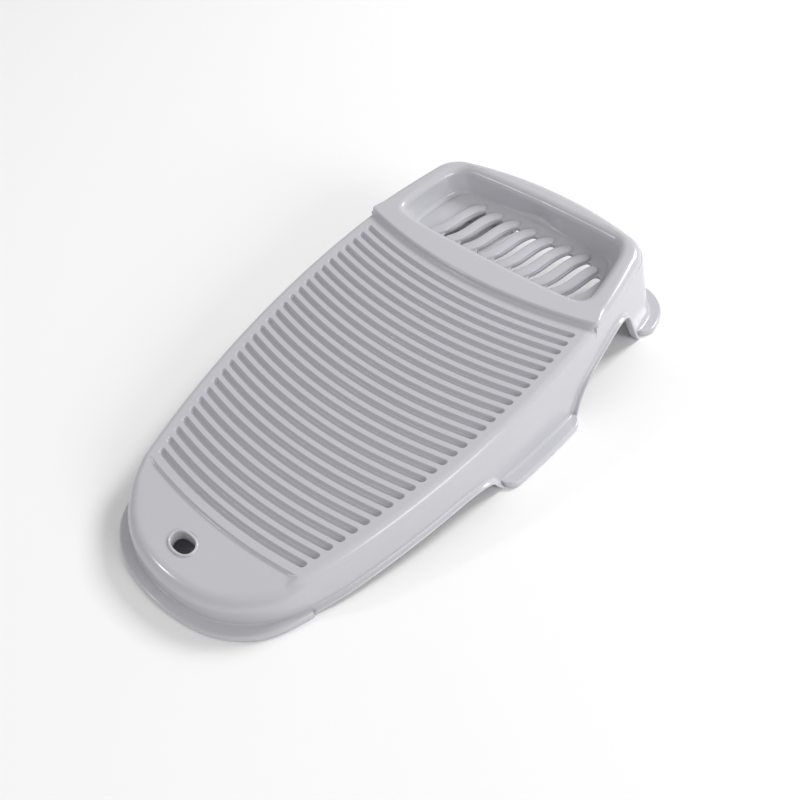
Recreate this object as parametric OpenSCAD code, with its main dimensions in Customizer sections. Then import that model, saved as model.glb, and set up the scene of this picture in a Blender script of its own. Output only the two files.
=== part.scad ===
// Tilted washing board with a soap tray: one moulded shell, drawn as its named regions.
// The board lies along Y. The tray end is at +Y and the low hand-rest end is at -Y.
// Every outline is a plan view, raised straight up and cut by planes parallel to the panel.

/* [Panel] */
// Slope of the scrubbing panel, in degrees
tilt = 7.5; // [6:0.5:9]
// Height of the panel above the ground, at the first groove
panel_h = 59.5; // [57:0.5:64]
// Half width of the board at its widest
half_w = 98.5; // [92:0.5:104]
// Radius of the long curved sides
side_r = 669; // [640:1:720]
// Width of the flat band between the groove ends and the rim
band_w = 9.2; // [8:0.2:11]
// Thickness of the moulded wall
wall_t = 2.6; // [2:0.2:3.2]

/* [Grooves] */
// Number of grooves
groove_n = 28; // [20:1:28]
// Distance from one groove to the next
pitch = 8; // [7.6:0.1:8]
// Width of one groove
groove_w = 4.2; // [3.6:0.2:4.8]
// Depth of one groove
groove_d = 3; // [2:0.2:3.6]
// Radius of the arcs that the grooves follow
arc_r = 360; // [320:5:420]

/* [Soap tray] */
// Height of the tray deck above the panel
deck_rise = 4; // [3:0.2:5]
// Depth of the tray below its deck
tray_depth = 19; // [16:0.5:22]
// Number of drain slots
slot_n = 8; // [6:1:8]
// Distance from one drain slot to the next
slot_pitch = 15.1; // [14.6:0.1:15.4]
// Width of one drain slot
slot_w = 6; // [5:0.2:6.4]

/* [Hand rest] */
// Drop of the hand rest below the panel
rest_drop = 1.6; // [1:0.2:2.4]
// Width of the hanging hole
hole_w = 17; // [15:0.5:18]
// Height of the hanging hole
hole_h = 11; // [10:0.5:12]

/* [Skirt and feet] */
// Depth of the skirt below the panel
skirt_d = 28; // [26:0.5:28]
// Outward lip along the arches
lip_w = 3; // [2:0.2:3.4]
// Outward reach of the feet
foot_w = 8.6; // [7:0.2:9]
// Height of the feet's flange
foot_h = 4.5; // [3.5:0.5:6]
// Backward rake of the rear legs, in degrees
rake = 19.5; // [17:0.5:21]
// Sideways flare of the rear legs, in degrees
flare = 1.5; // [0.5:0.5:3]
// Outward draft of the side walls, in degrees
draft = 2.6; // [2:0.2:3]

/* [Hidden] */
$fn = 96;

shell = "#cbccd1";
shade = "#b9bac0";

// Plan outline: arcs tangent to each other, from the nose tip round to the tray end
widest_y = -32;
side_cx = half_w - side_r;
nose_r = 64;
nose_y = -205;
nose_x = side_cx + sqrt(pow(side_r - nose_r, 2) - pow(nose_y - widest_y, 2));
nose_a = atan2(nose_y - widest_y, nose_x - side_cx);
tip_y = -270;
tip_r = (pow(nose_x, 2) + pow(nose_y - tip_y, 2) - pow(nose_r, 2)) / (2 * (nose_y - tip_y - nose_r));
tip_a = atan2(nose_y - tip_y - tip_r, nose_x);
kink_y = 6;
kink_a = asin((kink_y - widest_y) / side_r);
kink_x = side_cx + side_r * cos(kink_a);
tray_side_r = 560;
tray_side_a = 3.8;
tray_cx = kink_x - tray_side_r * cos(tray_side_a);
tray_cy = kink_y - tray_side_r * sin(tray_side_a);
tail_r = 24;
tail_y = 70.5;
tail_x = tray_cx + sqrt(pow(tray_side_r - tail_r, 2) - pow(tail_y - tray_cy, 2));
tail_a = atan2(tail_y - tray_cy, tail_x - tray_cx);
back_y = 102.5;
back_r = (pow(tail_x, 2) + pow(tail_y - back_y, 2) - pow(tail_r, 2)) / (2 * (back_y - tail_y - tail_r));
back_a = atan2(tail_y - back_y + back_r, tail_x);

leg_cut_y = 50;
leg_cut_x = 46;
back_z = panel_h + back_y * tan(tilt);
foot_back_y = back_y + back_z * tan(rake);
foot_cut_x = leg_cut_x - back_z * tan(flare);
foot_reach = foot_back_y - back_r + sqrt(pow(back_r + foot_w, 2) - pow(foot_cut_x, 2));
nose_foot_w = foot_w - 1.2;
// The origin is at the middle of the footprint
centre_y = (foot_reach + tip_y - nose_foot_w) / 2;

// Heights over the panel plane
bed = -groove_d - wall_t;
deck_under = deck_rise - wall_t;
tray_bed = deck_rise - tray_depth;
step_y = -0.5;
rest_y = -228.5;
hole_x = -3.5;
hole_y = -248.7;
nose_cut_y = -223;
lip_t = 2;

function arc(cx, cy, r, a0, a1, n) =
    [for (i = [0 : n]) [cx + r * cos(a0 + (a1 - a0) * i / n), cy + r * sin(a0 + (a1 - a0) * i / n)]];
function next(p) = [for (i = [1 : len(p) - 1]) p[i]];
function flip(p) = [for (i = [len(p) - 1 : -1 : 0]) [-p[i][0], p[i][1]]];
// A closed outline from its right-hand half, whose two ends lie on the axis
function both(p) = concat(p, [for (i = [len(p) - 2 : -1 : 1]) [-p[i][0], p[i][1]]]);
function half_outline(e) = concat(
    arc(0, tip_y + tip_r, tip_r + e, -90, tip_a, 3),
    next(arc(nose_x, nose_y, nose_r + e, tip_a, nose_a, 10)),
    next(arc(side_cx, widest_y, side_r + e, nose_a, kink_a - 0.3, 10)),
    arc(tray_cx, tray_cy, tray_side_r + e, tray_side_a + 0.3, tail_a, 4),
    next(arc(tail_x, tail_y, tail_r + e, tail_a, back_a, 8)),
    next(arc(0, back_y - back_r, back_r + e, back_a, 90, 3))
);
function outline(e) = both(half_outline(e));
// Corner cutting: n passes turn a control polygon into a smooth curve
function smooth(p, n) = n == 0 ? p : smooth(concat(
    [p[0]],
    [for (i = [0 : len(p) - 2], t = [0.25, 0.75]) p[i] * (1 - t) + p[i + 1] * t],
    [p[len(p) - 1]]
), n - 1);
function opening_half(e) = smooth([
    [0, 18 - e], [45, 19 - e], [81 + e, 22.5 - e], [80 + e, 46], [73 + e, 84.5 + e], [44, 87 + e], [0, 88 + e]
], 3);
function opening(e) = both(opening_half(e));
function sag(x) = arc_r - sqrt(arc_r * arc_r - x * x);
function end_x(y) = side_cx + sqrt(pow(side_r - band_w, 2) - pow(y - widest_y, 2));
function groove_y(k) = -pitch * k - sag(end_x(-pitch * k));
function skirt_z(y) = panel_h + y * tan(tilt) - skirt_d;
// Lower edges of the skirt between the feet, as [y, z]
function front_arch() = smooth([
    [nose_cut_y, skirt_z(nose_cut_y)], [-160, skirt_z(-160)], [-96, skirt_z(-96)], [-86, 2], [-83, 0]
], 2);
function rear_arch() = smooth([
    [-10.5, 0], [-8.5, 9], [-5, 18], [4, 27.5], [18, 35], [34, 41], [49, 44], [59, 40], [66, 27], [76, 9], [82, 0]
], 2);
function unit(v) = v / norm(v);
function side_of(p, i) = unit([
    p[min(i + 1, len(p) - 1)][1] - p[max(i - 1, 0)][1], p[max(i - 1, 0)][0] - p[min(i + 1, len(p) - 1)][0]
]);
function strip(p, t) = concat(p, [for (i = [len(p) - 1 : -1 : 0]) p[i] + t * side_of(p, i)]);

module slab(low, high) {
    translate([0, 0, panel_h]) rotate([tilt, 0, 0]) translate([-150, -320, low]) cube([300, 480, high - low]);
}
module plate(low, high) {
    intersection() {
        slab(low, high);
        linear_extrude(120) children();
    }
}
module shape(e) {
    polygon(outline(e));
}
module ring(outer, inner) {
    difference() {
        shape(outer);
        shape(inner);
    }
}
// Everything on the tray side of an arc that passes through y on the axis
module above_arc(y) {
    polygon(concat(arc(0, y + arc_r, arc_r, -110, -70, 24), [[150, 150], [-150, 150]]));
}
// Plan area between the two arcs that bound the scrubbing panel
module panel_area() {
    difference() {
        above_arc(rest_y);
        above_arc(step_y);
    }
}
module between_bands() {
    side = arc(side_cx, widest_y, side_r - band_w, -18.5, 6, 24);
    polygon(concat(side, flip(side)));
}
module groove_field() {
    intersection() {
        panel_area();
        between_bands();
    }
}
module across(x0, x1) {
    translate([x0, 0, 0]) rotate([90, 0, 90]) linear_extrude(x1 - x0) children();
}
// Raises an area and turns it outwards about the right-hand edge of the panel
module drafted() {
    translate([half_w, 0, panel_h]) rotate([tilt, 0, 0]) rotate([0, -draft, 0]) rotate([-tilt, 0, 0])
        translate([-half_w, 0, -panel_h - 30]) linear_extrude(140) children();
}
// Raises an area, leans it backwards about the rear top edge and then sideways
module raked(sideways) {
    translate([leg_cut_x, 0, back_z]) rotate([0, -sideways, 0]) translate([-leg_cut_x, back_y, 0])
        rotate([rake, 0, 0]) translate([0, -back_y, -back_z - 30]) linear_extrude(170) children();
}
module upright(x, y, w, l) {
    translate([x, y, 0]) cube([w, l, 120]);
}
module ground_up() {
    translate([-150, -300, 0]) cube([300, 500, 120]);
}

// Scrubbing panel
module scrub_plate() {
    color(shade) plate(bed, -groove_d) groove_field();
}
module ridge(y_top, y_low, w_top, w_low) {
    difference() {
        translate([0, y_low + arc_r]) circle(arc_r - w_low / 2, $fn = 360);
        translate([0, y_top + arc_r]) circle(arc_r + w_top / 2, $fn = 360);
    }
}
module scrub_ridges() {
    color(shell) plate(-groove_d, 0) intersection() {
        groove_field();
        union() {
            for (k = [0 : groove_n - 2]) ridge(groove_y(k), groove_y(k + 1), groove_w, groove_w);
            ridge(step_y, groove_y(0), 0, groove_w);
            ridge(groove_y(groove_n - 1), rest_y, groove_w, 0);
        }
    }
}
module right_band() {
    color(shell) plate(bed, 0) difference() {
        intersection() {
            panel_area();
            shape(0);
            translate([0, -300]) square([150, 400]);
        }
        between_bands();
    }
}
module left_band() {
    mirror([1, 0, 0]) right_band();
}

// Hand rest
module oval(w, h) {
    straight = w - h;
    square([straight, h], center = true);
    for (s = [-1, 1]) translate([s * straight / 2, 0]) circle(h / 2);
}
module hand_rest() {
    color(shell) plate(bed, -rest_drop) difference() {
        intersection() {
            shape(0);
            translate([-100, -290]) square([200, 80]);
        }
        panel_area();
        translate([-120, -224]) square([240, 100]);
        translate([hole_x, hole_y]) oval(hole_w + 3.6, hole_h + 3.6);
    }
}
module hanging_eyelet() {
    color(shell) plate(bed - 2, -rest_drop + 1.2) translate([hole_x, hole_y]) difference() {
        oval(hole_w + 3.6, hole_h + 3.6);
        oval(hole_w, hole_h);
    }
}

// Soap tray
module deck_area() {
    intersection() {
        shape(0);
        above_arc(step_y);
        translate([-120, -5]) square([240, 120]);
    }
}
module tray_deck() {
    color(shell) {
        plate(deck_under, deck_rise) difference() {
            deck_area();
            polygon(opening(0));
        }
        plate(bed, deck_under) difference() {
            deck_area();
            above_arc(step_y + wall_t);
        }
    }
}
module tray_basin() {
    color(shell) plate(tray_bed - wall_t, deck_under) difference() {
        polygon(opening(wall_t));
        polygon(opening(0));
    }
}
// One S-shaped strip, centred on x
module s_strip(x, w, half_l) {
    n = 10;
    edge = [for (i = [-n : n]) [s_bend(half_l * i / n), half_l * i / n]];
    translate([x, slots_y]) polygon(concat(
        [for (p = edge) [p[0] - w / 2, p[1]]],
        [for (i = [len(edge) - 1 : -1 : 0]) [edge[i][0] + w / 2, edge[i][1]]]
    ));
}
slots_x = -42;
slots_y = 54;
function s_bend(y) = 0.162 * y + 0.000514 * pow(y, 3);
module tray_floor() {
    color(shell) plate(tray_bed - wall_t, tray_bed) difference() {
        polygon(opening(0));
        intersection() {
            polygon(opening(-7));
            union() {
                for (k = [0 : slot_n - 1]) s_strip(slots_x + slot_pitch * k, slot_w, 17.6);
            }
        }
    }
}
module drain_bars() {
    bar_w = slot_pitch - slot_w - 1;
    color(shell) plate(tray_bed, tray_bed + 3) intersection() {
        polygon(opening(-7));
        union() {
            for (k = [0 : slot_n - 1]) s_strip(slots_x + slot_pitch * (k - 0.5), bar_w, 23);
        }
    }
}

// Skirt
module side_cuts() {
    across(-150, 150) union() {
        polygon(concat(front_arch(), [[-83, -5], [nose_cut_y, -5]]));
        polygon(concat([[-10.5, -5]], rear_arch(), [[82, -5]]));
    }
}
module right_wall() {
    color(shell) difference() {
        intersection() {
            drafted() ring(0, -wall_t);
            slab(-90, deck_under);
            upright(40, nose_cut_y, 100, leg_cut_y - nose_cut_y);
            ground_up();
        }
        side_cuts();
        plate(bed, 90) difference() {
            translate([0, -300]) square([140, 330]);
            above_arc(step_y + wall_t);
        }
    }
}
module left_wall() {
    mirror([1, 0, 0]) right_wall();
}
module nose_wall() {
    color(shell) plate(-90, bed) intersection() {
        ring(0, -wall_t);
        translate([-100, -300]) square([200, 300 + nose_cut_y]);
    }
}
module rear_wall() {
    color(shell) intersection() {
        raked(0) ring(0, -wall_t);
        slab(-skirt_d, deck_under);
        upright(-leg_cut_x, leg_cut_y, 2 * leg_cut_x, 120);
    }
}
module right_rear_leg() {
    color(shell) difference() {
        intersection() {
            raked(flare) ring(0, -wall_t);
            slab(-90, deck_under);
            upright(leg_cut_x, leg_cut_y, 100, 120);
            ground_up();
        }
        side_cuts();
    }
}
module left_rear_leg() {
    mirror([1, 0, 0]) right_rear_leg();
}

// Lips along the open edges
module lip(profile, y0, y1) {
    intersection() {
        across(0, 150) polygon(strip(profile, lip_t));
        drafted() ring(lip_w, -wall_t);
        upright(0, y0, 150, y1 - y0);
        ground_up();
    }
}
module right_front_lip() {
    color(shell) lip(front_arch(), nose_cut_y, -83);
}
module left_front_lip() {
    mirror([1, 0, 0]) right_front_lip();
}
module right_rear_lip() {
    color(shell) lip(rear_arch(), -10.5, leg_cut_y);
}
module left_rear_lip() {
    mirror([1, 0, 0]) right_rear_lip();
}
module rear_lip() {
    color(shell) intersection() {
        raked(0) ring(lip_w, -wall_t);
        slab(-skirt_d - lip_t, -skirt_d);
        upright(-leg_cut_x, leg_cut_y, 2 * leg_cut_x, 120);
    }
}

// Feet
module nose_foot() {
    color(shell) linear_extrude(foot_h) intersection() {
        ring(nose_foot_w, 0);
        translate([-100, -300]) square([200, 300 + nose_cut_y]);
    }
}
module right_mid_foot() {
    reach = half_w + 2.7 + foot_w;
    color(shell) difference() {
        linear_extrude(foot_h) polygon(concat(
            [[half_w - 2, -84.5]],
            arc(reach - foot_w, -84.5 + foot_w, foot_w, -90, 0, 8),
            arc(reach - foot_w, -10.5 - foot_w, foot_w, 0, 90, 8),
            [[half_w - 2, -10.5]]
        ));
        drafted() shape(0);
    }
}
module left_mid_foot() {
    mirror([1, 0, 0]) right_mid_foot();
}
module right_rear_foot() {
    color(shell) difference() {
        linear_extrude(foot_h) intersection() {
            translate([back_z * tan(flare), foot_back_y - back_y]) ring(foot_w, -3);
            translate([leg_cut_x, 84]) square([100, 100]);
        }
        raked(flare) shape(0);
    }
}
module left_rear_foot() {
    mirror([1, 0, 0]) right_rear_foot();
}

translate([0, -centre_y, 0]) {
    scrub_plate();
    scrub_ridges();
    left_band();
    right_band();
    hand_rest();
    hanging_eyelet();
    tray_deck();
    tray_basin();
    tray_floor();
    drain_bars();
    left_wall();
    right_wall();
    nose_wall();
    rear_wall();
    left_rear_leg();
    right_rear_leg();
    left_front_lip();
    right_front_lip();
    left_rear_lip();
    right_rear_lip();
    rear_lip();
    nose_foot();
    left_mid_foot();
    right_mid_foot();
    left_rear_foot();
    right_rear_foot();
}
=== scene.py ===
import math

import bmesh
import bpy
import numpy as np
from mathutils import Matrix, Vector


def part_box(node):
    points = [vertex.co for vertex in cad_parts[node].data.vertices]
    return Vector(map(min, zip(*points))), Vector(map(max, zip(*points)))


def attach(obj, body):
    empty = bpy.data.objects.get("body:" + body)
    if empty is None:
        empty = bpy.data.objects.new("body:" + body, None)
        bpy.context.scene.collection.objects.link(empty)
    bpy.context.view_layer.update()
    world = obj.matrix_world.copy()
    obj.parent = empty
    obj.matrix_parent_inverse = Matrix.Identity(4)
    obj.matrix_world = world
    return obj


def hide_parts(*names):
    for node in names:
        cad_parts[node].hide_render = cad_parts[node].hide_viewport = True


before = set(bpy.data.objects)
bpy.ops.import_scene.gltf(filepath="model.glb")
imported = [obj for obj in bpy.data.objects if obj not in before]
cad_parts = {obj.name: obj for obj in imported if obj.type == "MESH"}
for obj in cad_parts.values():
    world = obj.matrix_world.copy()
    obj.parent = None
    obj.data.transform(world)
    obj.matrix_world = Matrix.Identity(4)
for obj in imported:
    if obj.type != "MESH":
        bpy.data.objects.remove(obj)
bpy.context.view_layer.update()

# Every length below is in millimetres in the board's drawing frame; place() turns it into metres.
TILT = math.radians(7.5)
PANEL_H = 59.5
WALL = 2.6
RISE = 4.0
REST_DROP = 1.6
ARC_R = 360.0  # radius of the arcs that the grooves and the step follow
HALF_W, SIDE_R, WIDEST_Y = 98.5, 669.0, -32.0
SIDE_CX = HALF_W - SIDE_R
KINK_Y, TRAY_R, TRAY_A = 6.0, 560.0, 3.8
TAIL_R, TAIL_CY, BACK_Y = 24.0, 70.5, 102.5
NOSE_R, NOSE_CY, TIP_Y = 64.0, -205.0, -270.0
BAND = 9.2
GROOVES, PITCH, GROOVE_D = 28, 8.0, 2.7
STEP_Y, REST_Y = -0.5, -228.5
HOLE_X, HOLE_Y, HOLE_W, HOLE_H = -3.5, -248.7, 17.0, 11.0
NOSE_Y, MID_Y0, MID_Y1, REAR_FOOT_Y = -223.0, -84.5, -10.5, 84.0
FRONT_ARCH_END, REAR_ARCH_END, LEG_X = -83.0, 82.0, 46.0
SKIRT_D = 28.0
DRAFT, RAKE, FLARE = 0.045, 0.354, 0.026  # outward lean of the walls, per unit of depth
LIP_W, LIP_T = 3.0, 2.0
FOOT_W, FOOT_H = 8.6, 4.5
EDGE_R = 5.0  # roundover along the panel's long edges
DECK_LAP = 1.2  # how far the deck's edge reaches down over the walls
FLOOR_H = -15.0
SLOT_PITCH, SLOT_W, SLOT_X, SLOT_Y = 15.1, 6.0, -42.0, 54.0
SLOT_HALF, SLOT_N, BAR_W, BAR_UP = 15.2, 8, 8.0, 2.6
SLOPE = math.tan(TILT)
BED = -3.0 - WALL

eyelet_low, eyelet_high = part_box("hanging_eyelet")
ORIGIN_Y = HOLE_Y - (eyelet_low.y + eyelet_high.y) * 500


def place(points):
    out = np.array(points, float)
    out[..., 1] -= ORIGIN_Y
    return out / 1000


def sag(x):
    return ARC_R - np.sqrt(ARC_R**2 - np.asarray(x, float) ** 2)


def smoothstep(x, a, b):
    t = np.clip((np.asarray(x, float) - a) / (b - a), 0, 1)
    return t * t * (3 - 2 * t)


def arc(cx, cy, r, a0, a1, n):
    a = np.radians(np.linspace(a0, a1, n))
    return np.stack([cx + r * np.cos(a), cy + r * np.sin(a), np.cos(a), np.sin(a)], 1)


# --- plan outline of the board, right half, as points with outward normals -------------------
def half_outline():
    """Tangent arcs from the nose tip round the right side to the middle of the tray end."""
    nose_cx = SIDE_CX + math.sqrt((SIDE_R - NOSE_R) ** 2 - (NOSE_CY - WIDEST_Y) ** 2)
    nose_a = math.degrees(math.atan2(NOSE_CY - WIDEST_Y, nose_cx - SIDE_CX))
    tip_r = (nose_cx**2 + (NOSE_CY - TIP_Y) ** 2 - NOSE_R**2) / (2 * (NOSE_CY - TIP_Y - NOSE_R))
    tip_a = math.degrees(math.atan2(NOSE_CY - TIP_Y - tip_r, nose_cx))
    kink_a = math.degrees(math.asin((KINK_Y - WIDEST_Y) / SIDE_R))
    kink_x = SIDE_CX + SIDE_R * math.cos(math.radians(kink_a))
    tray_cx = kink_x - TRAY_R * math.cos(math.radians(TRAY_A))
    tray_cy = KINK_Y - TRAY_R * math.sin(math.radians(TRAY_A))
    tail_cx = tray_cx + math.sqrt((TRAY_R - TAIL_R) ** 2 - (TAIL_CY - tray_cy) ** 2)
    tail_a = math.degrees(math.atan2(TAIL_CY - tray_cy, tail_cx - tray_cx))
    back_r = (tail_cx**2 + (TAIL_CY - BACK_Y) ** 2 - TAIL_R**2) / (2 * (BACK_Y - TAIL_CY - TAIL_R))
    back_a = math.degrees(math.atan2(TAIL_CY - BACK_Y + back_r, tail_cx))
    return np.concatenate(
        [
            arc(0, TIP_Y + tip_r, tip_r, -90, tip_a, 60),
            arc(nose_cx, NOSE_CY, NOSE_R, tip_a, nose_a, 120)[1:],
            arc(SIDE_CX, WIDEST_Y, SIDE_R, nose_a, kink_a - 0.2, 500)[1:],
            arc(tray_cx, tray_cy, TRAY_R, TRAY_A + 0.2, tail_a, 160),
            arc(tail_cx, TAIL_CY, TAIL_R, tail_a, back_a, 90)[1:],
            arc(0, BACK_Y - back_r, back_r, back_a, 90, 80)[1:],
        ]
    )


HALF = half_outline()
HALF_S = np.concatenate([[0], np.cumsum(np.hypot(*np.diff(HALF[:, :2], axis=0).T))])


def on_outline(s):
    """x, y, outward normal x, outward normal y at a distance s along the right half."""
    q = np.stack([np.interp(s, HALF_S, HALF[:, k]) for k in range(4)], -1)
    q[..., 2:] /= np.linalg.norm(q[..., 2:], axis=-1, keepdims=True)
    return q


SIDE_PART = (HALF[:, 1] > -226) & (HALF[:, 1] < 60) & (HALF[:, 0] > 50)
SIDE_T = (HALF[:, 1] - sag(HALF[:, 0]))[SIDE_PART]
SIDE_SS = HALF_S[SIDE_PART]


def s_of_row(t):
    """Where the groove arc that crosses the axis at t meets the right side."""
    return np.interp(t, SIDE_T, SIDE_SS)


def s_of_y(y):
    """Where the right side passes y."""
    part = (HALF[:, 0] > 50) | (HALF[:, 1] > 0)
    return np.interp(y, HALF[part, 1], HALF_S[part])


# --- lower edge of the skirt -----------------------------------------------------------------
def corner_cut(points, passes):
    p = np.array(points, float)
    for _ in range(passes):
        a, b = p[:-1], p[1:]
        mid = np.stack([0.75 * a + 0.25 * b, 0.25 * a + 0.75 * b], 1).reshape(-1, 2)
        p = np.concatenate([p[:1], mid, p[-1:]])
    return p


def skirt_z(y):
    return PANEL_H + y * SLOPE - SKIRT_D


FRONT_ARCH = corner_cut(
    [(y, skirt_z(y)) for y in (NOSE_Y, -160, -96)] + [(-86, 2), (FRONT_ARCH_END, 0)], 4
)
REAR_ARCH = corner_cut(
    [(MID_Y1, 0), (-8.5, 9), (-5, 18), (4, 27.5), (18, 35), (34, 41)]
    + [(49, 44), (59, 40), (66, 27), (76, 9), (REAR_ARCH_END, 0)],
    4,
)


def edge_z(x, y):
    """Height below which the skirt is open, at a point on the wall."""
    x, y = np.abs(x), np.asarray(y, float)
    front = np.interp(y, FRONT_ARCH[:, 0], FRONT_ARCH[:, 1])
    side = np.interp(y, REAR_ARCH[:, 0], REAR_ARCH[:, 1])
    z = np.where((y > NOSE_Y) & (y < FRONT_ARCH_END), front, 0.0)
    z = np.where((y > MID_Y1) & (y < REAR_ARCH_END), side, z)
    corner_r = 12.0
    k = np.clip((x - (LEG_X - corner_r)) / corner_r, 0, 1)
    rear = skirt_z(y) - corner_r + corner_r * np.sqrt(np.maximum(0, 1 - k * k))
    return np.where((y > 90) & (x < LEG_X), rear, z)


def wall_point(q, depth, inset=0.0):
    """A point on the wall, a vertical depth below the panel plane, for outline sample q."""
    x0, y0, nx, ny = (q[..., k] for k in range(4))
    tail = smoothstep(y0, 30, 68)
    out_n = DRAFT * (1 - tail) * smoothstep(y0, -224, -200)
    d = np.maximum(depth, 0)
    flare = FLARE * tail * smoothstep(x0, 20, 60)
    x = x0 - inset * nx + out_n * nx * d + flare * d
    y = y0 - inset * ny + out_n * ny * d + RAKE * tail * d
    return np.stack([x, y, PANEL_H + y0 * SLOPE - depth], -1)


def wall_depth(q):
    """Vertical depth at which each wall column reaches its lower edge."""
    d = np.linspace(3, 100, 1941)
    p = wall_point(q[:, None, :], d[None, :])
    under = p[..., 2] <= edge_z(p[..., 0], p[..., 1])
    first = np.argmax(under, 1)
    return d[first]


# --- mesh helpers ----------------------------------------------------------------------------
def mesh_object(name, verts, faces, sharp=35):
    mesh = bpy.data.meshes.new(name)
    mesh.from_pydata([tuple(v) for v in verts], [], [tuple(int(i) for i in f) for f in faces])
    work = bmesh.new()
    work.from_mesh(mesh)
    bmesh.ops.recalc_face_normals(work, faces=work.faces)
    work.to_mesh(mesh)
    work.free()
    mesh.validate()
    mesh.update()
    obj = bpy.data.objects.new(name, mesh)
    bpy.context.scene.collection.objects.link(obj)
    mesh.shade_smooth()
    mesh.set_sharp_from_angle(angle=math.radians(sharp))
    return obj


def grid_faces(rows, cols, close_rows=False, close_cols=False):
    r = np.arange(rows if close_rows else rows - 1)
    c = np.arange(cols if close_cols else cols - 1)
    a, b = np.meshgrid(r, c, indexing="ij")
    a2, b2 = (a + 1) % rows, (b + 1) % cols
    return np.stack([a * cols + b, a * cols + b2, a2 * cols + b2, a2 * cols + b], -1).reshape(-1, 4)


def loft(name, loops, closed=False, sharp=35):
    """Joins closed sections, each an (n, 3) loop in millimetres, into one solid."""
    loops = np.array(loops)
    rows, cols = loops.shape[:2]
    faces = [list(f) for f in grid_faces(rows, cols, close_rows=closed, close_cols=True)]
    if not closed:
        faces += [list(range(cols))[::-1], list(range((rows - 1) * cols, rows * cols))]
    return mesh_object(name, place(loops).reshape(-1, 3), faces, sharp)


def paired_loft(name, outer, inner):
    """A shell from an outer and an inner grid of the same size, closed round all four sides."""
    rows, cols = outer.shape[:2]
    verts = place(np.concatenate([outer.reshape(-1, 3), inner.reshape(-1, 3)]))
    verts[:, 2] = np.maximum(verts[:, 2], 0)
    n = rows * cols
    top = grid_faces(rows, cols)
    grid = np.arange(n).reshape(rows, cols)
    edges = [grid[0], grid[-1], grid[:, 0], grid[:, -1]]
    sides = [np.stack([e[:-1], e[1:], e[1:] + n, e[:-1] + n], 1) for e in edges]
    return mesh_object(name, verts, np.concatenate([top, top[:, ::-1] + n] + sides), 40)


def mirrored(points):
    return points * np.array([-1.0, 1, 1])


# --- materials -------------------------------------------------------------------------------
def plastic(name, color, rough):
    """Moulded plastic: faint cloudy colour and gloss, and a very fine grain."""
    mat = bpy.data.materials.new(name)
    mat.use_nodes = True
    nt = mat.node_tree
    n, link = nt.nodes, nt.links
    bsdf = n["Principled BSDF"]
    coords = n.new("ShaderNodeTexCoord")
    broad = n.new("ShaderNodeTexNoise")
    broad.inputs["Scale"].default_value = 9
    broad.inputs["Detail"].default_value = 3
    link.new(coords.outputs["Object"], broad.inputs["Vector"])
    ramp = n.new("ShaderNodeValToRGB")
    ramp.color_ramp.elements[0].position = 0.25
    ramp.color_ramp.elements[1].position = 0.75
    ramp.color_ramp.elements[0].color = (*[c * 0.975 for c in color], 1)
    ramp.color_ramp.elements[1].color = (*[min(1, c * 1.02) for c in color], 1)
    link.new(broad.outputs["Fac"], ramp.inputs["Fac"])
    link.new(ramp.outputs["Color"], bsdf.inputs["Base Color"])
    fine = n.new("ShaderNodeTexNoise")
    fine.inputs["Scale"].default_value = 900
    fine.inputs["Detail"].default_value = 2
    link.new(coords.outputs["Object"], fine.inputs["Vector"])
    gloss = n.new("ShaderNodeMapRange")
    gloss.inputs["To Min"].default_value = rough - 0.03
    gloss.inputs["To Max"].default_value = rough + 0.05
    link.new(broad.outputs["Fac"], gloss.inputs["Value"])
    link.new(gloss.outputs["Result"], bsdf.inputs["Roughness"])
    grain = n.new("ShaderNodeBump")
    grain.inputs["Strength"].default_value = 0.02
    grain.inputs["Distance"].default_value = 0.0004
    link.new(fine.outputs["Fac"], grain.inputs["Height"])
    link.new(grain.outputs["Normal"], bsdf.inputs["Normal"])
    bsdf.inputs["IOR"].default_value = 1.49
    bsdf.inputs["Subsurface Weight"].default_value = 0.04
    bsdf.inputs["Subsurface Radius"].default_value = (0.004, 0.004, 0.004)
    return mat


SHELL = plastic("shell_plastic", (0.53, 0.53, 0.563), rough=0.17)


def finish_piece(obj, nodes):
    obj.data.materials.clear()
    obj.data.materials.append(SHELL)
    weighted = obj.modifiers.new("weighted", "WEIGHTED_NORMAL")
    weighted.weight = 80
    weighted.keep_sharp = True
    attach(obj, "root")
    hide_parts(*nodes)
    return obj


# --- scrubbing panel with its side walls -----------------------------------------------------
def roundover(r, n):
    a = np.linspace(0, math.pi / 2, n)
    return np.stack([r - r * np.sin(a), -r + r * np.cos(a)], 1)


def band_x(y):
    """Where the grooves meet the flat band, at y."""
    return SIDE_CX + np.sqrt((SIDE_R - BAND) ** 2 - (y - WIDEST_Y) ** 2)


def groove_end_x(t):
    """Half length of a groove whose middle lies at t on the axis."""
    x = np.full_like(t, 85.0)
    for _ in range(8):
        x = band_x(t + sag(x))
    return x


def groove_centre(k):
    y = -PITCH * k
    return y - float(sag(band_x(y)))


CENTRES = np.array([groove_centre(k) for k in range(GROOVES)])


def groove_height(t, x):
    """Depth profile of the grooves: round valleys, ridges with rounded crowns."""
    gap = np.abs(t[..., None] - CENTRES)
    near = np.min(gap, -1)
    end = groove_end_x(CENTRES)[np.argmin(gap, -1)]
    half_w, inner, outer, bowl = 2.15, 1.35, 2.35, 0.22
    along = np.maximum(np.abs(x) - (end - half_w), 0)
    dist = np.hypot(near, along)
    dip = bowl * (1 - np.clip(dist / inner, 0, 1) ** 2)
    return -(GROOVE_D + dip) * (1 - smoothstep(dist, inner, outer))


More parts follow.
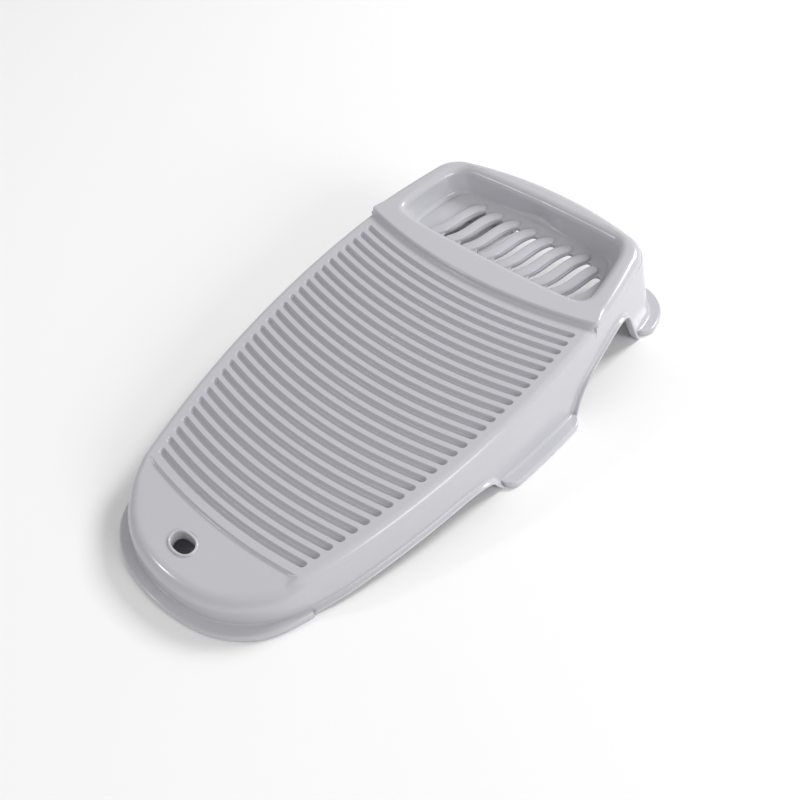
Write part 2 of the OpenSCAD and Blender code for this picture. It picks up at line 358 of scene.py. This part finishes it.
def row_positions():
    """Where the panel's cross rows meet the axis: close together on the groove walls."""
    t = [REST_Y, REST_Y + 0.3, REST_Y + 0.8]
    side = [0.8, 1.3, 1.5, 1.7, 1.9, 2.1, 2.3, 2.55, 2.9]
    for c in CENTRES:
        t += [c, c + 4.0] + [c + d for d in side] + [c - d for d in side]
    t = sorted(v for v in t if v < STEP_Y - 1.6)
    t += [STEP_Y - 1.55, STEP_Y - 1.1, STEP_Y - 0.6, STEP_Y - 0.25, STEP_Y]
    return np.array(t)


ROW_T = row_positions()
ROW_Q = on_outline(s_of_row(ROW_T))


def inset_x(q, inset):
    """x of the point on a groove arc that lies an inset inside the outline at q."""
    slope = q[..., 0] / np.sqrt(ARC_R**2 - q[..., 0] ** 2)
    return q[..., 0] - inset / (q[..., 2] + q[..., 3] * slope)


def panel_rows():
    """Outer and inner half grids: out along each row to the rim, then down the side wall."""
    q = ROW_Q
    end = groove_end_x(ROW_T)
    near_end = [4.0, 3.4, 2.9, 2.5, 2.1, 1.8, 1.5, 1.25]
    past_end = [-0.7, -1.0]
    fillet_r = 1.5
    fillet = np.clip((ROW_T - (STEP_Y - fillet_r)) / fillet_r, 0, 1)
    rise = fillet_r - fillet_r * np.sqrt(1 - fillet**2)
    columns = [f * (end - 4.4) for f in np.linspace(0, 1, 34)]
    columns += [end - d for d in near_end + list(np.arange(1.0, -0.5, -0.2)) + past_end]
    columns = [(x, groove_height(ROW_T, x) + rise) for x in columns]
    for i, h in [(EDGE_R + 0.25, 0.0), *roundover(EDGE_R, 9)]:
        columns.append((inset_x(q, i), h + rise * (i > 2)))
    depth = wall_depth(q)
    top, under = [], []
    for x, h in columns:
        y = ROW_T + sag(x)
        top.append(np.stack([x, y, PANEL_H + y * SLOPE + h], 1))
        x = np.minimum(x, inset_x(q, WALL))
        y = ROW_T + sag(x)
        under.append(np.stack([x, y, PANEL_H + y * SLOPE + BED], 1))
    for f in np.linspace(0, 1, 9)[1:]:
        d = EDGE_R + f * (depth - EDGE_R)
        top.append(wall_point(q, d))
        under.append(wall_point(q, np.minimum(np.maximum(d, -BED + 0.5 * f), depth), WALL))
    return np.stack(top, 1), np.stack(under, 1)


outer_half, inner_half = panel_rows()
outer = np.concatenate([mirrored(outer_half)[:, :0:-1], outer_half], 1)
inner = np.concatenate([mirrored(inner_half)[:, :0:-1], inner_half], 1)
panel = paired_loft("scrub_panel_shell", outer, inner)
finish_piece(panel, ["scrub_plate", "scrub_ridges", "left_band", "right_band"])


# --- nose: hand rest and its wall ------------------------------------------------------------
def over_panel(p, h):
    """Plan points raised to a height h over the panel's plane."""
    return np.concatenate([p, (PANEL_H + p[:, 1] * SLOPE + h)[:, None]], 1)


def nose_grid():
    """Outer and inner half grids: from the last groove arc out to the rim, then down the wall."""
    s_end = float(s_of_row(REST_Y))
    s = np.concatenate([np.linspace(0, s_end - 6, 90), np.linspace(s_end - 6, s_end, 14)[1:]])
    q = on_outline(s)
    depth = wall_depth(q)
    share = s / s_end
    last = q[-1]
    x_in = inset_x(last, EDGE_R)
    start_x = share * x_in
    start = np.stack([start_x, REST_Y + sag(start_x)], 1)
    r = EDGE_R + 3.0 * (1 - smoothstep(share, 0.6, 0.95))
    drop = REST_DROP * (1 - smoothstep(share, 0.86, 1.0))
    seam = smoothstep(share, 0.8, 1.0)[:, None]
    beside = q[:, :2] + np.array([x_in, REST_Y + float(sag(x_in))]) - last[:2]
    rim = (q[:, :2] - r[:, None] * q[:, 2:]) * (1 - seam) + seam * beside
    length = np.linalg.norm(rim - start, axis=1)
    direction = (rim - start) / np.maximum(length, 1e-6)[:, None]
    top = []
    for d, f in ((0, 0), (0.15, 0.08), (0.4, 0.3), (0.8, 0.65), (1.2, 0.9), (1.7, 1.0), (2.4, 1.0)):
        p = start + direction * np.minimum(d, length * d / 2.5)[:, None]
        top.append(over_panel(p, -drop * f))
    first = start + direction * np.minimum(2.4, length * 0.96)[:, None]
    for f in np.linspace(0, 1, 14)[1:]:
        top.append(over_panel(first + (rim - first) * f, -drop))
    for a in np.linspace(0, math.pi / 2, 11)[1:]:
        p = rim + (q[:, :2] - rim) * math.sin(a)
        top.append(over_panel(p, -drop - r * (1 - math.cos(a))))
    inside = q[:, :2] - WALL * q[:, 2:]
    under = [over_panel(start + (inside - start) * f, BED) for f in np.linspace(0, 1, len(top))]
    reach = r + drop
    for f in np.linspace(0, 1, 8)[1:]:
        top.append(wall_point(q, reach + f * (depth - reach)))
        under.append(wall_point(q, -BED + 0.01 + f * (depth + BED), WALL))
    return np.stack(top, 1), np.stack(under, 1)


outer_half, inner_half = nose_grid()
outer = np.concatenate([mirrored(outer_half)[:0:-1], outer_half], 0)
inner = np.concatenate([mirrored(inner_half)[:0:-1], inner_half], 0)
nose = paired_loft("hand_rest_shell", outer, inner)


def oval(w, h, n):
    """Closed plan outline, a little squarer than an ellipse."""
    a = np.linspace(0, 2 * math.pi, n, endpoint=False)
    c, s = np.cos(a), np.sin(a)
    power = 2 / 2.3
    x = w / 2 * np.sign(c) * np.abs(c) ** power
    y = h / 2 * np.sign(s) * np.abs(s) ** power
    return np.stack([x, y], 1)


def prism(name, plan, z0, z1):
    n = len(plan)
    low = np.concatenate([plan, np.full((n, 1), z0)], 1)
    high = np.concatenate([plan, np.full((n, 1), z1)], 1)
    return loft(name, [low, high])


def cut(obj, cutters):
    for c in cutters:
        m = obj.modifiers.new("cut", "BOOLEAN")
        m.operation = "DIFFERENCE"
        m.solver = "EXACT"
        m.object = c
    bpy.context.view_layer.update()
    done = obj.evaluated_get(bpy.context.evaluated_depsgraph_get())
    mesh = bpy.data.meshes.new_from_object(done)
    obj.modifiers.clear()
    obj.data = mesh
    for c in cutters:
        bpy.data.objects.remove(c)


hole = oval(HOLE_W + 1.6, HOLE_H + 1.6, 72) + [HOLE_X, HOLE_Y]
cut(nose, [prism("hole_cutter", hole, -5, 60)])
finish_piece(nose, ["hand_rest", "nose_wall"])


# --- eyelet ----------------------------------------------------------------------------------
def eyelet():
    """The raised rim of the hanging hole; the section gives outward distance and height."""
    loops = []
    crown = [(1.8, -0.4), (1.75, 0.25), (1.45, 0.75), (1.0, 1.02), (0.55, 1.0), (0.2, 0.75), (0.03, 0.3)]
    section = crown + [(0, -0.4), (0, -4), (0, -7.0), (0.9, -7.2), (1.8, -6.8), (1.8, -3.5)]
    base = oval(HOLE_W, HOLE_H, 96)
    t = np.roll(base, -1, 0) - np.roll(base, 1, 0)
    normal = np.stack([t[:, 1], -t[:, 0]], 1) / np.linalg.norm(t, axis=1)[:, None]
    for p, n in zip(base, normal):
        loop = []
        for o, h in section:
            x, y = p + n * o + [HOLE_X, HOLE_Y]
            loop.append((x, y, PANEL_H + y * SLOPE - REST_DROP + h))
        loops.append(loop)
    return loft("hanging_eyelet_rim", loops, closed=True, sharp=60)


finish_piece(eyelet(), ["hanging_eyelet"])


# --- tray deck and basin ---------------------------------------------------------------------
def chain_points(points, n):
    p = np.array(points, float)
    s = np.concatenate([[0], np.cumsum(np.hypot(*np.diff(p, axis=0).T))])
    u = np.linspace(0, s[-1], n)
    return np.stack([np.interp(u, s, p[:, 0]), np.interp(u, s, p[:, 1])], 1)


def with_normals(p):
    """Adds outward normals to a half outline that starts and ends on the axis."""
    t = np.gradient(p, axis=0)
    n = np.stack([t[:, 1], -t[:, 0]], 1)
    n /= np.linalg.norm(n, axis=1)[:, None]
    n[0] = [0, -1]
    n[-1] = [0, 1]
    return np.concatenate([p, n], 1)


# outer loop of the deck, right half: front step arc, a small corner, then the outline
corner_s = float(s_of_row(STEP_Y))
corner = on_outline(np.array([corner_s]))[0]
front_x = np.concatenate([np.linspace(0, corner[0] - 4.6, 60), corner[0] - np.array([4.1, 3.6])])
front = np.stack([front_x, STEP_Y + sag(front_x)], 1)
past_corner = corner_s + np.array([3.6, 4.1, 4.6])
after = on_outline(np.concatenate([past_corner, np.linspace(corner_s + 5.5, HALF_S[-1], 190)]))
bend = []
p0, p2 = front[-1], after[0, :2]
for f in np.linspace(0, 1, 13)[1:-1]:
    bend.append((1 - f) ** 2 * p0 + 2 * f * (1 - f) * corner[:2] + f * f * p2)
deck_outer = with_normals(np.concatenate([front, np.array(bend), after[:, :2]]))

# edge of the flat deck round the tray, and edge of the tray's flat floor
OPEN = corner_cut([(0, 16.5), (58, 17), (84.5, 21), (83.5, 50), (75.5, 88), (48, 90.5), (0, 91.5)], 5)
FLOOR = corner_cut([(0, 26), (55, 26), (72, 30), (72, 52), (66, 81.5), (44, 84), (0, 84.5)], 5)


def deck_round(run, y):
    """Radius of the deck's outer edge, a distance past the step's corner."""
    full = EDGE_R + 2.4 * smoothstep(y, 20, 80)
    return 1.6 + (full - 1.6) * smoothstep(run, 3, 16)


def deck_ring():
    n = len(deck_outer)
    # matched parameter: angle round a centre keeps the strips from crossing
    centre = np.array([0.0, 56.0])
    ao = np.arctan2(deck_outer[:, 0], -(deck_outer[:, 1] - centre[1]))
    op = with_normals(chain_points(OPEN, 700))
    ai = np.arctan2(op[:, 0], -(op[:, 1] - centre[1]))
    inner = np.stack([np.interp(ao, ai, op[:, k]) for k in range(4)], 1)
    inner[:, 2:] /= np.linalg.norm(inner[:, 2:], axis=1)[:, None]
    run = np.concatenate([[0], np.cumsum(np.hypot(*np.diff(deck_outer[:, :2], axis=0).T))])
    r = deck_round(run - run[len(front)], deck_outer[:, 1])
    ri = 5.5
    low = with_normals(chain_points(FLOOR, 700))
    al = np.arctan2(low[:, 0], -(low[:, 1] - centre[1]))
    foot_line = np.stack([np.interp(ao, al, low[:, k]) for k in range(2)], 1)
    rows = []
    for i in range(n):
        o, nn = deck_outer[i, :2], deck_outer[i, 2:]
        p, m = inner[i, :2], inner[i, 2:]
        pts = []

        def add(xy, h):
            pts.append((xy[0], xy[1], PANEL_H + xy[1] * SLOPE + h))

        under = RISE - max(RISE + DECK_LAP, r[i] + 0.6)
        add(o, under)
        for a in np.linspace(math.pi / 2, 0, 10):
            add(o - nn * r[i] * (1 - math.sin(a)), RISE - r[i] * (1 - math.cos(a)))
        edge = o - nn * r[i]
        add(edge + (p - edge) * 0.06, RISE)
        add(edge + (p - edge) * 0.94, RISE)
        for a in np.linspace(0, math.pi / 2, 12):
            add(p - m * ri * math.sin(a), RISE - ri * (1 - math.cos(a)))
        start, h0 = p - m * ri, RISE - ri
        end = foot_line[i]
        inward = (end - start) / np.linalg.norm(end - start)
        fillet = 3.5
        toe = end - inward * fillet
        for f in (0.33, 0.66, 1.0):
            add(start + (toe - start) * f**1.2, h0 + (FLOOR_H + fillet - h0) * f)
        for a in np.linspace(0, math.pi / 2, 8)[1:]:
            add(toe + inward * fillet * (1 - math.cos(a)), FLOOR_H + fillet - fillet * math.sin(a))
        add(end + inward * 0.6, FLOOR_H)
        add(end + inward * 0.6, FLOOR_H - WALL)
        add(toe - inward * 1.0, FLOOR_H - WALL)
        add(toe - inward * 2.6, FLOOR_H + 2)
        add(start - inward * WALL, RISE - 8.0)
        add(p + m * 0.5, under)
        rows.append(pts)
    return np.array(rows)


deck_half = deck_ring()
deck_loops = np.concatenate([deck_half, mirrored(deck_half)[-2:0:-1]], 0)
deck = loft("tray_deck_shell", deck_loops, closed=True, sharp=50)
finish_piece(deck, ["tray_deck", "tray_basin"])


def s_curve(x, v):
    """Points of an S-shaped line, v along the board from the middle of the tray."""
    return np.stack([x + 0.162 * v + 0.000514 * v**3, SLOT_Y + v], 1)


def s_outline(x, w, low, high, n=26):
    """Closed plan outline of an S-shaped slot with round ends."""
    mid = s_curve(x, np.linspace(low, high, n))
    t = np.gradient(mid, axis=0)
    t /= np.linalg.norm(t, axis=1)[:, None]
    nn = np.stack([t[:, 1], -t[:, 0]], 1)
    right = mid + nn * w / 2
    left = mid - nn * w / 2
    end, start = [], []
    for a in np.linspace(0, math.pi, 10)[1:-1]:
        end.append(mid[-1] + w / 2 * (nn[-1] * math.cos(a) + t[-1] * math.sin(a)))
        start.append(mid[0] - w / 2 * (nn[0] * math.cos(a) + t[0] * math.sin(a)))
    return np.concatenate([right, end, left[::-1], start])


def tray_floor():
    half = chain_points(FLOOR, 160)
    plan = np.concatenate([half, (half * [-1, 1])[-2:0:-1]])
    top = over_panel(plan, FLOOR_H)
    low = top - [0, 0, WALL]
    floor = loft("tray_floor_plate", [low, top])
    cutters = []
    for k in range(SLOT_N):
        far = SLOT_HALF if k < SLOT_N - 1 else 8.0
        slot = s_outline(SLOT_X + SLOT_PITCH * k, SLOT_W, -SLOT_HALF, far)
        cutters.append(prism(f"slot_{k}", slot, 0, 90))
    cut(floor, cutters)
    bevel = floor.modifiers.new("soft_edges", "BEVEL")
    bevel.width = 0.0004
    bevel.segments = 2
    bevel.limit_method = "ANGLE"
    bevel.angle_limit = math.radians(50)
    return floor


finish_piece(tray_floor(), ["tray_floor"])


def bars():
    """Domed bars between the slots, tapered at both ends."""
    verts, faces = [], []
    n, m = 44, 14
    for k in range(SLOT_N):
        x = SLOT_X + SLOT_PITCH * (k - 0.5)
        u = np.linspace(-1, 1, n)
        u = np.sign(u) * (1 - (1 - np.abs(u)) ** 1.6)
        low_end, high_end = -23.0, 22.5 if k < SLOT_N - 1 else 16.0
        half_l = (high_end - low_end) / 2
        mid = s_curve(x, low_end + half_l * (1 + u))
        t = np.gradient(mid, axis=0)
        t /= np.linalg.norm(t, axis=1)[:, None]
        nn = np.stack([t[:, 1], -t[:, 0]], 1)
        room = half_l * (1 - np.abs(u))
        size = np.sqrt(np.clip(1 - (1 - np.clip(room / (BAR_W / 2), 0, 1)) ** 2, 0.0004, 1))
        rows = []
        for i in range(n):
            a = np.linspace(0, math.pi, m)
            aside = np.cos(a) * BAR_W / 2 * size[i]
            up = BAR_UP * np.sin(a) ** 0.5 * size[i] ** 0.6
            top = over_panel(mid[i] + nn[i] * aside[:, None], FLOOR_H + up)
            low = np.array([top[-1] - [0, 0, 0.4], top[0] - [0, 0, 0.4]])
            rows.append(np.concatenate([top, low]))
        rows = place(np.array(rows))
        cols = m + 2
        first = sum(len(v) for v in verts)
        verts.append(rows.reshape(-1, 3))
        faces += [list(f) for f in grid_faces(n, cols, close_cols=True) + first]
        faces.append([first + i for i in range(cols)][::-1])
        faces.append([first + (n - 1) * cols + i for i in range(cols)])
    return mesh_object("drain_bars_set", np.concatenate(verts), faces, sharp=70)


finish_piece(bars(), ["drain_bars"])


# --- walls round the tray end ----------------------------------------------------------------
def tail_samples():
    """Distances along the outline, closest together round the rear leg."""
    step, leg, back = float(s_of_row(STEP_Y)), float(s_of_y(50)), float(s_of_y(72))
    side = [np.linspace(step, leg, 110), np.linspace(leg, back, 90)[1:]]
    return np.concatenate([*side, np.linspace(back, HALF_S[-1], 170)[1:]])


TAIL_S = tail_samples()
TAIL_Q = on_outline(TAIL_S)
TAIL_D = wall_depth(TAIL_Q)


def tail_walls():
    start = np.maximum(0, deck_round(TAIL_S - TAIL_S[0], TAIL_Q[:, 1]) - RISE)
    outer = [wall_point(TAIL_Q, start, 0.05)]
    inner = [wall_point(TAIL_Q, start, WALL)]
    for f in np.linspace(0, 1, 22):
        d = start + DECK_LAP + f * (TAIL_D - start - DECK_LAP)
        outer.append(wall_point(TAIL_Q, d))
        inner.append(wall_point(TAIL_Q, d, WALL))
    o, i = np.stack(outer, 1), np.stack(inner, 1)
    o = np.concatenate([o, mirrored(o)[-2::-1]], 0)
    i = np.concatenate([i, mirrored(i)[-2::-1]], 0)
    return paired_loft("tail_walls_shell", o, i)


tail = tail_walls()
finish_piece(tail, ["left_wall", "right_wall", "rear_wall", "left_rear_leg", "right_rear_leg"])


# --- lips along the lower edges --------------------------------------------------------------
def thin(points, step):
    """Indices that keep the path's points at least step apart."""
    keep = [0]
    for i in range(1, len(points)):
        if np.linalg.norm(points[i] - points[keep[-1]]) >= step:
            keep.append(i)
    if keep[-1] != len(points) - 1:
        keep[-1] = len(points) - 1
    return np.array(keep)


def lip_loops(q, step):
    """Sections of a bead along the skirt's lower edge, at least step apart."""
    depth = wall_depth(q)
    keep = thin(wall_point(q, depth), step)
    edge = wall_point(q[keep], depth[keep])
    outward = edge - wall_point(q[keep], depth[keep], WALL)
    outward[:, 2] = 0
    outward /= np.linalg.norm(outward, axis=1)[:, None]
    run = np.gradient(edge, axis=0)
    run /= np.linalg.norm(run, axis=1)[:, None]
    down = np.cross(run, outward)
    down /= np.linalg.norm(down, axis=1)[:, None]
    down *= np.where((down[:, 2:3] > 0) & (np.abs(down[:, 2:3]) > 0.2), -1, 1)
    for i in range(1, len(down)):
        if np.dot(down[i], down[i - 1]) < 0:
            down[i] = -down[i]
    w = LIP_W
    section = [(-WALL, 0.0), (0.0, -2.2), (0.25, -1.0), (0.9, -0.3), (w - 0.9, 0.0), (w - 0.35, 0.15)]
    section += [(w, 0.65), (w, 1.35), (w - 0.35, 1.85), (w - 0.9, LIP_T), (0.4, LIP_T)]
    section += [(-WALL + 0.5, LIP_T), (-WALL, LIP_T - 0.5)]
    loops = np.array([[e + o * a + d * b for a, b in section] for e, o, d in zip(edge, outward, down)])
    loops[..., 2] = np.maximum(loops[..., 2], 0.02)
    return loops


def lip(name, q):
    """The lip along the outline samples q on the right, and its mirror image."""
    loops = lip_loops(q, 1.2)
    finish_piece(loft(name + "_right", loops, sharp=50), ["right_" + name])
    finish_piece(loft(name + "_left", mirrored(loops), sharp=50), ["left_" + name])


ys = np.concatenate([np.linspace(NOSE_Y, -100, 90), np.linspace(-100, -83.5, 120)[1:]])
lip("front_lip", on_outline(s_of_y(ys)))

ys = [np.linspace(-10.4, -6, 120), np.linspace(-6, 10, 60)[1:], np.linspace(10, 50, 60)[1:]]
leg_s = np.linspace(float(s_of_y(50)) + 0.3, float(s_of_y(66)), 200)
arch_q = on_outline(np.concatenate([s_of_y(np.concatenate(ys)), leg_s]))
arch_z = wall_point(arch_q, wall_depth(arch_q))[:, 2]
stop = np.argmax((arch_z < 0.4) & (arch_q[:, 1] > 40)) or len(arch_q)
lip("rear_lip", arch_q[:stop])

loops = lip_loops(on_outline(np.linspace(HALF_S[-1] - 47, HALF_S[-1], 200)), 1.0)
loops = np.concatenate([loops, mirrored(loops)[-2::-1]], 0)
finish_piece(loft("rear_wall_lip", loops, sharp=50), ["rear_lip"])


# --- feet ------------------------------------------------------------------------------------
def foot(name, q, reach, both=False, mirror=False, fillet=2.2):
    """A flange on the ground round the wall's foot; reach is its width at each sample."""
    ground = PANEL_H + q[:, 1] * SLOPE
    base = wall_point(q, ground)
    back = wall_point(q, ground, WALL)
    out = base - back
    out[:, 2] = 0
    out /= np.linalg.norm(out, axis=1)[:, None]
    loops = []
    for i in range(len(q)):
        w = reach[i]
        r = min(1.6, w * 0.4)
        k = min(1.0, w / FOOT_W)
        pts = [(-WALL, 0.0), (w - 0.5, 0.0), (w - 0.1, 0.25), (w, 0.8)]
        for a in np.linspace(0, math.pi / 2, 6):
            pts.append((w - r + r * math.cos(a), FOOT_H - r + r * math.sin(a)))
        c = fillet * k
        for a in np.linspace(0, math.pi / 2, 6):
            pts.append((c - c * math.sin(a), FOOT_H + c - c * math.cos(a)))
        pts.append((-0.6, FOOT_H + c + 0.2))
        pts.append((-WALL, FOOT_H))
        loop = []
        for o, h in pts:
            p = base[i] + out[i] * o
            at = wall_point(q[i : i + 1], ground[i : i + 1] - h)[0]
            lean = (at - base[i])[:2] if o < w * 0.5 else np.zeros(2)
            loop.append((p[0] + lean[0], p[1] + lean[1], h))
        loops.append(loop)
    loops = np.array(loops)
    if both:
        loops = np.concatenate([mirrored(loops)[:0:-1], loops], 0)
    if mirror:
        loops = mirrored(loops)
    return loft(name, loops, sharp=50)


def rounded_end(near):
    """Width of a foot at a distance past its rounded end."""
    left = FOOT_W - np.minimum(near, FOOT_W)
    return np.maximum(0.3, np.sqrt(np.maximum(0, FOOT_W**2 - left**2)))


s_nose = np.linspace(0, float(s_of_y(NOSE_Y)), 110)
q = on_outline(s_nose)
part = s_nose / s_nose[-1]
reach = 7.2 + 0.9 * smoothstep(part, 0.1, 0.5) - 4.1 * smoothstep(part, 0.6, 1.0)
finish_piece(foot("nose_foot_flange", q, reach, both=True, fillet=1.0), ["nose_foot"])

yy = [np.linspace(MID_Y0, MID_Y0 + FOOT_W, 22), np.linspace(MID_Y0 + FOOT_W, MID_Y1 - FOOT_W, 20)[1:-1]]
yy = np.concatenate([*yy, np.linspace(MID_Y1 - FOOT_W, MID_Y1, 22)])
q = on_outline(s_of_y(yy))
reach = rounded_end(np.minimum(yy - MID_Y0, MID_Y1 - yy))
finish_piece(foot("right_mid_foot_flange", q, reach), ["right_mid_foot"])
finish_piece(foot("left_mid_foot_flange", q, reach, mirror=True), ["left_mid_foot"])

tail_s = HALF_S[HALF[:, 1] > 50]
tail_q = on_outline(tail_s)
ground_p = wall_point(tail_q, PANEL_H + tail_q[:, 1] * SLOPE)
foot_start = float(np.interp(REAR_FOOT_Y, ground_p[:, 1], tail_s))
foot_end = float(tail_s[ground_p[:, 0] > LEG_X][-1])
foot_s = [np.linspace(foot_start, foot_start + 9, 22), np.linspace(foot_start + 9, foot_end, 70)[1:]]
foot_s = np.concatenate(foot_s)
q = on_outline(foot_s)
reach = rounded_end(foot_s - foot_start)
finish_piece(foot("right_rear_foot_flange", q, reach), ["right_rear_foot"])
finish_piece(foot("left_rear_foot_flange", q, reach, mirror=True), ["left_rear_foot"])


# --- floor, light and camera -----------------------------------------------------------------
def stage():
    mesh = bpy.data.meshes.new("studio_floor")
    prof = [(-6.0, 0.0), (3.0, 0.0)]
    for a in np.linspace(0, math.pi / 2, 12)[1:]:
        prof.append((3.0 + 2.0 * math.sin(a), 2.0 - 2.0 * math.cos(a)))
    prof.append((5.0, 6.0))
    verts, faces = [], []
    for x in (-9.0, 9.0):
        for y, z in prof:
            verts.append((x, y, z))
    n = len(prof)
    for i in range(n - 1):
        faces.append((i, i + n, i + 1 + n, i + 1))
    mesh.from_pydata(verts, [], faces)
    mesh.update()
    obj = bpy.data.objects.new("studio_floor", mesh)
    bpy.context.scene.collection.objects.link(obj)
    mesh.shade_smooth()
    mat = bpy.data.materials.new("studio_white")
    mat.use_nodes = True
    b = mat.node_tree.nodes["Principled BSDF"]
    b.inputs["Base Color"].default_value = (0.92, 0.92, 0.92, 1)
    b.inputs["Roughness"].default_value = 0.9
    b.inputs["Specular IOR Level"].default_value = 0.1
    mesh.materials.append(mat)
    obj.location.z = -0.0003
    return obj


stage()

world = bpy.data.worlds.new("studio")
bpy.context.scene.world = world
world.use_nodes = True
world.node_tree.nodes["Background"].inputs["Color"].default_value = (1, 1, 1, 1)
world.node_tree.nodes["Background"].inputs["Strength"].default_value = 0.5


def area(name, location, target, size, power):
    light = bpy.data.lights.new(name, "AREA")
    light.energy = power
    light.size = size
    obj = bpy.data.objects.new(name, light)
    bpy.context.scene.collection.objects.link(obj)
    obj.location = location
    direction = Vector(target) - Vector(location)
    obj.rotation_euler = direction.to_track_quat("-Z", "Y").to_euler()


area("key", (0.6, 2.1, 1.9), (0, 0, 0.03), 0.8, 50)
area("fill", (2.5, 0.1, 1.2), (0, 0, 0.03), 1.1, 26)
area("edge", (-1.0, -1.4, 1.0), (0, 0, 0.03), 0.12, 4)

camera_data = bpy.data.cameras.new("view")
camera = bpy.data.objects.new("view", camera_data)
bpy.context.scene.collection.objects.link(camera)
rotation = Matrix(
    ((0.74957, -0.44737, 0.48785), (0.66130, 0.53802, -0.52269), (-0.02863, 0.71441, 0.69914))
).to_4x4()
camera.matrix_world = Matrix.Translation((0.30096, (-385.93 - ORIGIN_Y) / 1000, 0.48361)) @ rotation
camera_data.sensor_width = 36
camera_data.lens = 42.99
camera_data.shift_x = -0.0031
camera_data.shift_y = -0.0805
bpy.context.scene.camera = camera
bpy.context.scene.view_settings.view_transform = "Standard"
